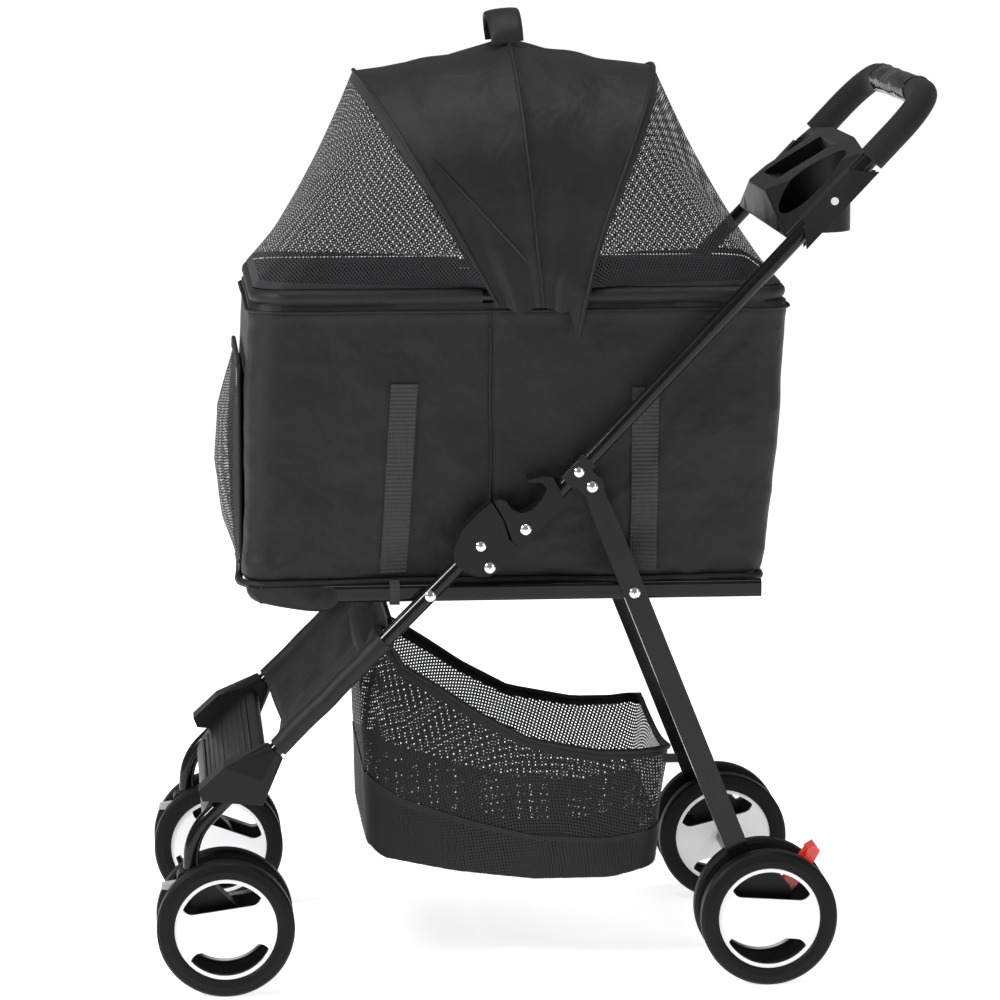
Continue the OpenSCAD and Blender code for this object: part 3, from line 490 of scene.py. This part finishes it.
def piping():
    """Corded seams along the cabin's bottom edge and under the rim sleeve."""
    for name, z, r in (("bottom_piping", FLOOR_Z - 0.0015, 0.0042), ("top_piping", WALL_TOP - 0.006, 0.0016)):
        t = (z - FLOOR_Z) / (WALL_TOP - FLOOR_Z)
        pts = []
        for x, y, nx, ny in rounded(RIM_X, curve(FRONT, t), curve(BACK, t), mix(0.022, RIM_CORNER, t)):
            d = wall_bulge(y, z, x) + 0.0008
            pts.append(Vector((x + nx * d, y + ny * d, z + 0.0008 * ripple(x * 20, y * 20, 0))))
        obj = tube_along(name, pts, r, 8, closed=True)
        finish_sheet(obj, 0, "cabin")


piping()


def strap_on_side(name, top, bottom, width, side):
    """Flat webbing that lies on the cabin's side, with a folded end at the top."""
    rows = []
    count = 46
    for j in range(count + 1):
        t = j / count
        y, z = mix(top[0], bottom[0], t), mix(top[1], bottom[1], t)
        row = []
        for i in range(7):
            yy = y + (i / 6 - 0.5) * width
            x = side_x(yy, z) + 0.0011 + 0.0008 * ease(0.07, 0.0, t) + 0.0003 * math.sin(t * 30)
            row.append(Vector((side * x, yy, z)))
        rows.append(row)
    obj = sheet_mesh(name, rows, material=WEBBING)
    finish_sheet(obj, 0, None)
    thicken(obj, 0.0014, 0.0)
    smooth_faces(obj, 40)
    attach(obj, "cabin")
    return obj


def side_seams():
    """Upright seams in the middle of the cabin's sides."""
    for side, label in ((1, "left"), (-1, "right")):
        line = []
        for j in range(60):
            z = mix(FLOOR_Z + 0.004, WALL_TOP - 0.004, j / 59)
            line.append(Vector((side * (side_x(SEAM_Y, z) + 0.0011), SEAM_Y + 0.0006 * math.sin(z * 60), z)))
        finish_sheet(tube_along("side_seam_" + label, line, 0.0011, 8), 0, "cabin")


side_seams()

for side, label in ((1, "left"), (-1, "right")):
    strap_on_side("front_strap_" + label, (-0.144, 0.618), (-0.156, 0.424), 0.027, side)
    strap_on_side("rear_strap_" + label, (0.101, 0.612), (0.099, 0.424), 0.027, side)
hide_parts("side_straps")


# ---- zipped window in the front ----
WINDOW_Y = -0.3085


def window():
    lo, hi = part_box("front_door")
    half, z0, z1 = 0.121, lo.z + 0.001, hi.z - 0.002
    profile = [(0.0, WINDOW_Y), (0.06, -0.3150), (0.2, -0.326), (0.45, -0.3325), (0.7, -0.329), (0.88, -0.3185),
               (1.0, WINDOW_Y)]
    rows = []
    for j in range(41):
        v = j / 40
        row = []
        for i in range(49):
            u = i / 48 * 2 - 1
            fall = (1 - abs(u) ** 4)
            y = WINDOW_Y + (curve(profile, v) - WINDOW_Y) * fall + 0.0012 * ripple(u * 4, v * 5, 2) * fall
            row.append(Vector((half * u, y, mix(z0, z1, v))))
        rows.append(row)
    obj = sheet_mesh("window_net", rows, material="mesh_black",
                     tape=lambda j, i, p: 1.0 if j < 2 or j > 38 or i < 3 or i > 45 else 0.0)
    weld(obj)
    smooth_faces(obj)
    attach(obj, "front_door")
    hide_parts("front_door")
    edge = []
    for i in range(60):
        a = 2 * math.pi * i / 60
        cx = clamp(1.35 * math.cos(a), -1, 1)
        cz = clamp(1.35 * math.sin(a), -1, 1)
        edge.append(Vector((half * cx, -0.3095, mix(z0, z1, (cz + 1) / 2))))
    tape = tube_along("window_zip", edge, 0.0024, 8, closed=True)
    finish_sheet(tape, 0, "front_door")


window()


# ---- canopy ----
def on_hoop(x, h, tilt):
    a = math.radians(tilt)
    return Vector((x, HINGE_Y - h * math.sin(a), HINGE_Z + h * math.cos(a)))


HOOPS = {"front": (0.1625, 0.268, 42.5), "mid": (0.157, 0.232, 6.5), "rear": (0.1515, 0.237, -31.5)}
CLEAR = 0.0048
STRAIGHT, BOW = 14, 56


def arch_point(kind, k, hem):
    """Point k of a hoop's cloth line, from the left hem over the top to the right hem."""
    rx, top, tilt = HOOPS[kind]
    n = 2 * STRAIGHT + BOW
    mirror = k > n / 2
    kk = n - k if mirror else k
    if kk < STRAIGHT:
        h = mix(hem, top - rx, kk / STRAIGHT)
        x = rx + CLEAR
        x = max(x, mix(0.1695, rx + CLEAR, ease(0.0, 0.05, h)))
    else:
        a = math.pi * (kk - STRAIGHT) / BOW
        x = (rx + CLEAR) * math.cos(a)
        h = top - rx + (rx + CLEAR) * math.sin(a)
    p = on_hoop(x, h, tilt)
    if kind == "front":
        p.y -= 0.062 * max(0.0, 1 - h / top) ** 1.2
    elif kind == "rear":
        p.y += 0.043 * max(0.0, 1 - h / top) ** 1.3
    else:
        p.y -= 0.004 * max(0.0, 1 - h / top)
    if mirror:
        p.x = -p.x
    return p


COLUMNS = 2 * STRAIGHT + BOW + 1


def canopy_rows(a, b, hems, count, sag):
    rows = []
    for j in range(count + 1):
        t = j / count
        row = []
        for k in range(COLUMNS):
            q = abs(k / (COLUMNS - 1) * 2 - 1)
            pa = arch_point(a, k, hems[0])
            pb = arch_point(b, k, hems[1])
            p = pa.lerp(pb, t)
            middle = Vector((0, HINGE_Y, HINGE_Z + 0.05))
            inward = (middle - p).normalized()
            slack = sag * 4 * t * (1 - t) * (1 - q ** 3)
            far = 7 if k > COLUMNS / 2 else 0
            fan = ripple(t * 3.2, q * 1.4 + far, a == "mid") * 0.0045 * math.sin(math.pi * t)
            fine = ripple(p.x * 22, p.y * 26, p.z * 14) * 0.0014 * math.sin(math.pi * t) ** 0.5
            low = ease(0.75, 1.0, q) * 0.0035 * math.sin(t * 3 * math.pi) * math.sin(math.pi * t)
            hold = ease(0.0, 0.22, t) * ease(1.0, 0.85, t)
            p = p + inward * (slack + (fan + fine + low) * hold)
            row.append(p)
        rows.append(row)
    return rows


def drop_hem(rows, fall):
    """Lets the lower hem of each side dip between the hoops."""
    count = len(rows) - 1
    for j, row in enumerate(rows):
        d = fall(j / count)
        for k in range(STRAIGHT):
            share = (1 - k / STRAIGHT) ** 2
            for p in (row[k], row[-1 - k]):
                p.z -= d * share


front_rows = canopy_rows("front", "mid", (-0.036, -0.027), 26, 0.0045)
drop_hem(front_rows, lambda t: 0.003 * math.sin(math.pi * t))
rear_rows = canopy_rows("mid", "rear", (-0.027, -0.034), 26, 0.0040)
drop_hem(rear_rows, lambda t: 0.004 * math.sin(math.pi * t) + 0.030 * ease(0.72, 1.0, t))


def canopy_panel(name, rows, cad, body_a):
    obj = sheet_mesh(name, rows)
    finish_sheet(obj, 0.0012, None, (cad,))
    start, end = (rows[0][COLUMNS // 2], rows[-1][COLUMNS // 2])
    if body_a == "mid_hoop":
        start, end = end, start
    tuple(start)
    tuple(end)
    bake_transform(obj)
    return obj


canopy_front = canopy_panel("canopy_front_cloth", front_rows, "canopy_front", "mid_hoop")
canopy_rear = sheet_mesh("canopy_rear_cloth", rear_rows)
finish_sheet(canopy_rear, 0.0012, None, ("canopy_rear",))
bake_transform(canopy_rear)


def seam(name, line, body, radius=0.0017):
    obj = tube_along(name, line, radius, 8)
    return finish_sheet(obj, 0, body)


seam("canopy_front_seam", [p + Vector((0, 0.0006, 0.0008)) for p in front_rows[0]], "front_hoop", 0.0022)
seam("canopy_mid_seam", [p + (p - Vector((0, p.y, 0.76))).normalized() * 0.0008 for p in front_rows[-1]], "mid_hoop",
     0.0020)
seam("canopy_rear_seam", [p + Vector((0, 0, 0.0008)) for p in rear_rows[-1]], "cabin", 0.0022)


# ---- net covers between the hoops and the rim ----
def rim_line(y_start, y_end, count):
    """Points round the rim from the left side at y_start, past the end of the cabin, to the right side."""
    r = RIM_CORNER
    s = 1 if y_end > y_start else -1
    y_c = y_end - s * r
    side_len, bow, across = abs(y_c - y_start), math.pi / 2 * r, 2 * (RIM_X - r)
    total = 2 * side_len + 2 * bow + across
    out = []
    for k in range(count):
        d = total * k / (count - 1)
        flip = d > total / 2
        d = total - d if flip else d
        if d < side_len:
            x, y = RIM_X, y_start + s * d
        elif d < side_len + bow:
            a = (d - side_len) / r
            x, y = RIM_X - r + r * math.cos(a), y_c + s * r * math.sin(a)
        else:
            x, y = RIM_X - r - (d - side_len - bow), y_end
        out.append(Vector((-x if flip else x, y, NET_Z)))
    return out


def net_cover(name, arch, y_start, y_end, cad, body, count=34):
    base = rim_line(y_start, y_end, COLUMNS)
    rows = []
    for j in range(count + 1):
        t = j / count
        row = []
        for k in range(COLUMNS):
            q = 1 - abs(k / (COLUMNS - 1) * 2 - 1)
            p = arch[k].lerp(base[k], t)
            pull = 0.006 * math.sin(math.pi * t) * ease(0.0, 0.5, q)
            p = p + (Vector((0, HINGE_Y, HINGE_Z)) - p).normalized() * pull
            wave = ripple(p.x * 12, p.y * 12, p.z * 12)
            p = p + Vector((1, 1, 0)).normalized() * wave * 0.0012 * math.sin(math.pi * t)
            row.append(p)
        rows.append(row)
    obj = sheet_mesh(name, rows, material="mesh_black",
                     tape=lambda j, k, p: 1.0 if j < 2 or j > count - 2 else 0.0)
    weld(obj, WELD)
    smooth_faces(obj)
    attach(obj, body)
    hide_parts(cad)
    return obj


def lowered(row, z):
    """The hoop's cloth line with its ends brought down to the rim sleeve."""
    out = []
    for p in row:
        q = p.copy()
        if q.z < z:
            q.z = z
        out.append(q)
    return out


front_net = net_cover("front_net", lowered(front_rows[0], NET_Z), front_rows[0][0].y, RIM_Y0 - 0.003, "front_mesh",
                      "front_hoop")
rear_net = net_cover("rear_net", lowered(rear_rows[-1], NET_Z), 0.036, RIM_Y1 + 0.003, "rear_mesh", "cabin")


# ---- carrying loop on the top ----
def carry_loop():
    """Padded loop along the middle hoop's top: an oval section swept over an arch, with sewn flat feet."""
    rings = []
    count, sides = 36, 16
    rx, top, tilt = HOOPS["mid"]
    for i in range(count + 1):
        a = math.pi * i / count
        c = (0.043 * math.cos(a), top + 0.0015 + 0.0300 * math.sin(a))
        n = Vector((math.cos(a) / 0.043, math.sin(a) / 0.030))
        n.normalize()
        fat = mix(0.0016, 0.0034, ease(0.0, 0.35, math.sin(a)))
        wide = 0.0165 + 0.0015 * math.sin(a)
        row = []
        for k in range(sides):
            b = 2 * math.pi * k / sides
            off = fat * math.copysign(abs(math.sin(b)) ** 0.7, math.sin(b))
            along = wide * math.cos(b)
            p = on_hoop(c[0] + n.x * off, c[1] + n.y * off, tilt)
            fwd = Vector((0, -math.cos(math.radians(tilt)), -math.sin(math.radians(tilt))))
            row.append(p + fwd * (along + 0.001))
        rings.append(row)
    obj = sheet_mesh("carry_loop", rings, wrap=True)
    weld(obj, cap=True)
    smooth_faces(obj, 60)
    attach(obj, "mid_hoop")
    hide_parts("carry_handle")


carry_loop()


# ---- basket ----
BASKET_TOP = [(-0.186, 0.370), (-0.165, 0.356), (-0.146, 0.324), (-0.108, 0.300), (-0.067, 0.272), (-0.015, 0.244),
              (0.057, 0.230), (0.098, 0.230), (0.131, 0.234)]
BASKET_FLOOR = [(-0.188, 0.140), (-0.165, 0.122), (-0.09, 0.106), (-0.01, 0.096), (0.07, 0.096), (0.115, 0.108),
                (0.128, 0.125)]


def basket():
    rows = []
    for k in (0.0, 0.3, 0.6, 0.85):
        row = []
        for x, y, nx, ny in rounded(0.130, -0.178, 0.116, 0.02, 24, 6):
            px, py = x * k, mix(-0.03, y, k)
            z = curve(BASKET_FLOOR, py) - 0.016 * (1 - k * k) + 0.003 * ripple(px * 12, py * 12, 1)
            row.append(Vector((px, py, z)))
        rows.append(row)
    levels = 40
    for j in range(levels + 1):
        t = j / levels
        hx = mix(0.132, 0.1385, t) + 0.004 * math.sin(math.pi * t)
        y0 = mix(-0.182, -0.189, t)
        y1 = mix(0.118, 0.131, t)
        row = []
        for x, y, nx, ny in rounded(hx, y0, y1, 0.02, 24, 6):
            lo, hi = curve(BASKET_FLOOR, y), curve(BASKET_TOP, y)
            z = mix(lo, hi, t)
            d = 0.0035 * ripple(y * 9, z * 9 + x * 3, 0.5) * math.sin(math.pi * t)
            d = d + 0.0012 * ripple(y * 30, z * 30, x * 9)
            if abs(ny) > 0.7 and ny > 0:
                z -= 0.010 * (1 - (x / hx) ** 2) * t
            wall = mix(-0.190, -0.158, ease(0.332, 0.362, z))
            row.append(Vector((x + nx * d, max(y + ny * d, wall), z)))
        rows.append(row)
    top = rows[-1]

    def tape(j, i, p):
        if j < 5 or j >= len(rows) - 3:
            return 1.0
        return 0.0

    obj = sheet_mesh("basket_net", rows, wrap=True, material=BASKET_NET, tape=tape)
    weld(obj, WELD)
    smooth_faces(obj)
    lower = [[p + (p - Vector((0, -0.03, p.z))).normalized() * 0.0012 for p in row]
             for row in rows[4:4 + int(levels * 0.36)]]
    skirt = sheet_mesh("basket_lower_net", lower, wrap=True, material=BASKET_NET,
                       tape=lambda j, i, p: 1.0 if j >= len(lower) - 2 else 0.0)
    weld(skirt)
    smooth_faces(skirt)
    hem = tube_along("basket_hem", [p.copy() for p in top], 0.0030, 8, closed=True)
    finish_sheet(hem, 0, None)
    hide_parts("basket")
    for p in (obj, skirt, hem):
        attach(p, "seat_frame")
        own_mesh(p)


basket()


def basket_hangers():
    """Webbing loops over the rails and tabs to the rear legs."""
    for s, label in ((1, "left"), (-1, "right")):
        rail = Vector((0.5 * (rail_lo.x + rail_hi.x), -0.155, 0.405))
        w, h = 0.0082, 0.0112
        rows = []
        for j in range(29):
            a = 2 * math.pi * j / 28
            px = rail.x + w * math.copysign(abs(math.cos(a)) ** 0.35, math.cos(a))
            pz = rail.z + h * math.copysign(abs(math.sin(a)) ** 0.35, math.sin(a))
            rows.append([Vector((s * px, rail.y + dy * 0.005, pz)) for dy in (-1, -0.3, 0.3, 1)])
        loop = sheet_mesh("rail_loop_" + label, rows, material=WEBBING)
        tabs = []
        for j in range(9):
            t = j / 8
            x = mix(0.140, 0.1735, t)
            tabs.append([Vector((s * x, 0.120 + i * 0.005, 0.226 + 0.004 * math.sin(math.pi * t))) for i in range(4)])
        tab = sheet_mesh("leg_tab_" + label, tabs, material=WEBBING)
        for p in (loop, tab):
            weld(p)
            thicken(p, 0.0016, 0.0)
            smooth_faces(p)
            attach(p, "seat_frame")
        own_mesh(tab)
    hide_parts("basket_straps")


basket_hangers()


# ---- cloth wrap under the front of the seat ----
def front_flap():
    profile = [(-0.298, 0.4138), (-0.304, 0.4120), (-0.3035, 0.405), (-0.294, 0.3975), (-0.270, 0.3935),
               (-0.246, 0.3895), (-0.224, 0.3875), (-0.211, 0.3905), (-0.2065, 0.400), (-0.209, 0.4120),
               (-0.222, 0.4140), (-0.25, 0.4143)]
    dense = []
    n = len(profile)
    for i in range(n):
        p0, p1, p2, p3 = (profile[(i + d) % n] for d in (-1, 0, 1, 2))
        for k in range(5):
            t = k / 5
            a, b, c = t, t * t, t ** 3
            dense.append(tuple(0.5 * (2 * q1 + (q2 - q0) * a + (2 * q0 - 5 * q1 + 4 * q2 - q3) * b
                                      + (3 * q1 - q0 - 3 * q2 + q3) * c) for q0, q1, q2, q3 in zip(p0, p1, p2, p3)))
    rows = []
    count = 60
    for j in range(count + 1):
        u = j / count * 2 - 1
        x = 0.1705 * u
        close = 1 - 0.16 * max(0, abs(u) - 0.96) / 0.04
        row = []
        for y, z in dense:
            zz = 0.4045 + (z - 0.4045) * close
            if zz < 0.402:
                zz -= 0.004 * (1 - u * u) + 0.0022 * ripple(x * 22, y * 30, 0)
                zz += 0.0018 * ripple(x * 60, y * 18, 3)
            row.append(Vector((x, -0.255 + (y + 0.255) * close, zz)))
        rows.append(row)
    obj = sheet_mesh("front_wrap_cloth", rows, wrap=True)
    weld(obj, cap=True)
    smooth_faces(obj, 60)
    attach(obj, "seat_frame")
    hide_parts("front_wrap")


front_flap()


# ---- cloth panel between the front tubes ----
def leg_panel():
    down = Vector((0, -math.sqrt(0.5), -math.sqrt(0.5)))
    out = Vector((0, -math.sqrt(0.5), math.sqrt(0.5)))
    pivot = Vector(FOLD)
    section = []
    r = 0.0098
    for i in range(15):
        a = math.radians(-150 + 300 * i / 14)
        section.append((TUBE_X + r * math.cos(a), r * math.sin(a)))
    for i in range(1, 40):
        u = 1 - i / 20
        section.append((u * (TUBE_X - r), mix(0.004, -0.0015, 1 - abs(u))))
    for i in range(15):
        a = math.radians(30 + 300 * i / 14)
        section.append((-TUBE_X + r * math.cos(a), r * math.sin(a)))
    rows = []
    count = 44
    for j in range(count + 1):
        t = j / count
        d = mix(0.066, 0.219, t)
        row = []
        for x, n in section:
            inner = clamp(1 - abs(x) / 0.168)
            n2 = n - 0.010 * inner ** 0.5 * math.sin(math.pi * (0.15 + 0.7 * t)) if abs(x) < 0.168 else n
            n2 += 0.0026 * ripple(x * 16, d * 30, 0) * (1 if abs(x) < 0.165 else 0.35)
            curl = 0.006 * inner * (ease(0.06, 0.0, t) + ease(0.94, 1.0, t))
            row.append(pivot + down * d + out * (n2 - curl) + Vector((x, 0, 0)))
        rows.append(row)
    obj = sheet_mesh("leg_panel_cloth", rows)
    a = area_of(obj)
    weld(obj)
    thicken(obj, 0.0014, 0.0)
    smooth_faces(obj, 60)
    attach(obj, "front_legs")
    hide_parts("leg_panel")


leg_panel()


# ---- mat in the cabin ----
def mat():
    lo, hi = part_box("cabin_mat")
    bpy.ops.object.select_all(action="DESELECT")
    bpy.ops.mesh.primitive_cube_add(size=1, location=((lo.x + hi.x) / 2, (lo.y + hi.y) / 2, (lo.z + hi.z) / 2))
    obj = bpy.context.object
    obj.name = "cabin_pad"
    obj.scale = (hi.x - lo.x - 0.008, hi.y - lo.y - 0.008, (hi.z - lo.z) * 0.7)
    bpy.ops.object.transform_apply(location=True, rotation=True, scale=True)
    bpy.ops.object.mode_set(mode="EDIT")
    bpy.ops.mesh.select_all(action="SELECT")
    bpy.ops.mesh.subdivide(number_cuts=24)
    bpy.ops.object.mode_set(mode="OBJECT")
    for v in obj.data.vertices:
        u = (v.co.x - lo.x) / (hi.x - lo.x) * 2 - 1
        w = (v.co.y - lo.y) / (hi.y - lo.y) * 2 - 1
        edge = clamp((1 - u ** 8) * (1 - w ** 8))
        quilt = 0.5 + 0.5 * abs(math.sin(u * 7.0)) * abs(math.sin(w * 10.0))
        if v.co.z > (lo.z + hi.z) / 2:
            v.co.z = mix((lo.z + hi.z) / 2 + 0.002, hi.z + 0.006 * quilt, edge)
    m = obj.modifiers.new("smooth", "SUBSURF")
    m.levels = 1
    m.render_levels = 1
    apply_all(obj)
    layer = obj.data.uv_layers.get("UVMap") or obj.data.uv_layers.new(name="cut")
    layer.name = "cut"
    for poly in obj.data.polygons:
        for l in poly.loop_indices:
            co = obj.data.vertices[obj.data.loops[l].vertex_index].co
            layer.data[l].uv = (co.x + co.z, co.y + co.z)
    obj.data.materials.clear()
    obj.data.materials.append(FINISH["mat_grey"])
    smooth_faces(obj, 60)
    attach(obj, "cabin")
    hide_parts("cabin_mat")


mat()


# ---- vinyl sleeve in the middle of the push handle ----
def vinyl_sleeve():
    lo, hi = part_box("grip_wrap")
    cy, cz = (lo.y + hi.y) / 2, (lo.z + hi.z) / 2
    rows = []
    count = 150
    for j in range(count + 1):
        x = mix(lo.x, hi.x, j / count)
        end = min(x - lo.x, hi.x - x)
        row = []
        for k in range(32):
            a = 2 * math.pi * k / 32
            folds = 0.0011 * math.sin(x * 520 + 1.6 * ripple(x * 30, math.cos(a), math.sin(a)) * 3)
            r = 0.0142 + folds * (0.35 + 0.65 * abs(ripple(x * 14, a, 3)))
            r = r + 0.0009 * ripple(x * 45, 2 * math.cos(a), 2 * math.sin(a))
            r += 0.0012 * ease(0.006, 0.0, end)
            row.append(Vector((x, cy + r * math.cos(a), cz + r * math.sin(a))))
        rows.append(row)
    obj = sheet_mesh("vinyl_sleeve", rows, wrap=True, material="vinyl_black")
    weld(obj, cap=True)
    smooth_faces(obj, 80)
    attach(obj, "handle")
    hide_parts("grip_wrap")


vinyl_sleeve()

# ---- finishes on the frame parts ----
slots = {p["node"]: p["material_slot"] for p in frame["record"]["subparts"]}
for name, obj in nodes.items():
    obj.data.materials.clear()
    obj.data.materials.append(FINISH[slots[name]])

# ---- floor, light and camera ----
bpy.ops.object.select_all(action="DESELECT")
bpy.ops.mesh.primitive_plane_add(size=24, location=(0, 0, -0.0005))
floor = bpy.context.object
floor.name = "floor"
floor_mat, tree, bsdf, out = new_material("pale floor")
bsdf.inputs["Base Color"].default_value = (1.0, 1.0, 1.0, 1)
bsdf.inputs["Roughness"].default_value = 0.85
bsdf.inputs["Emission Color"].default_value = (1, 1, 1, 1)
bsdf.inputs["Emission Strength"].default_value = 0.78
floor.data.materials.append(floor_mat)

world = bpy.data.worlds.new("studio")
bpy.context.scene.world = world
world.use_nodes = True
world.node_tree.nodes["Background"].inputs[0].default_value = (1.0, 1.0, 1.0, 1)
path = world.node_tree.nodes.new("ShaderNodeLightPath")
level = math_node(world.node_tree, "MULTIPLY_ADD", path.outputs["Is Camera Ray"], 1 - AMBIENT, AMBIENT)
world.node_tree.links.new(level, world.node_tree.nodes["Background"].inputs[1])
bpy.context.scene.view_settings.view_transform = "Standard"


def soft_light(name, place, target, size, power, size_y=None):
    data = bpy.data.lights.new(name, "AREA")
    data.shape = "RECTANGLE"
    data.size = size
    data.size_y = size_y or size
    data.energy = power
    lamp = bpy.data.objects.new(name, data)
    lamp.location = place
    lamp.rotation_euler = (Vector(target) - Vector(place)).to_track_quat("-Z", "Y").to_euler()
    bpy.context.scene.collection.objects.link(lamp)


soft_light("key", (1.5, -3.0, 2.5), (0, 0, 0.55), 0.8, 120)
soft_light("side strip", (2.2, 2.4, 1.6), (0, 0, 0.5), 0.3, 26, 2.2)
soft_light("top", (0.2, 0.0, 3.0), (0, 0, 0.5), 1.4, 30)

camera_data = bpy.data.cameras.new("camera")
camera_data.lens = 158.4
camera_data.sensor_width = 36
camera = bpy.data.objects.new("camera", camera_data)
camera.location = (4.553, -0.413, 1.203)
camera.rotation_euler = (Vector((0, -0.0338, 0.4724)) - camera.location).to_track_quat("-Z", "Y").to_euler()
bpy.context.scene.collection.objects.link(camera)
bpy.context.scene.camera = camera
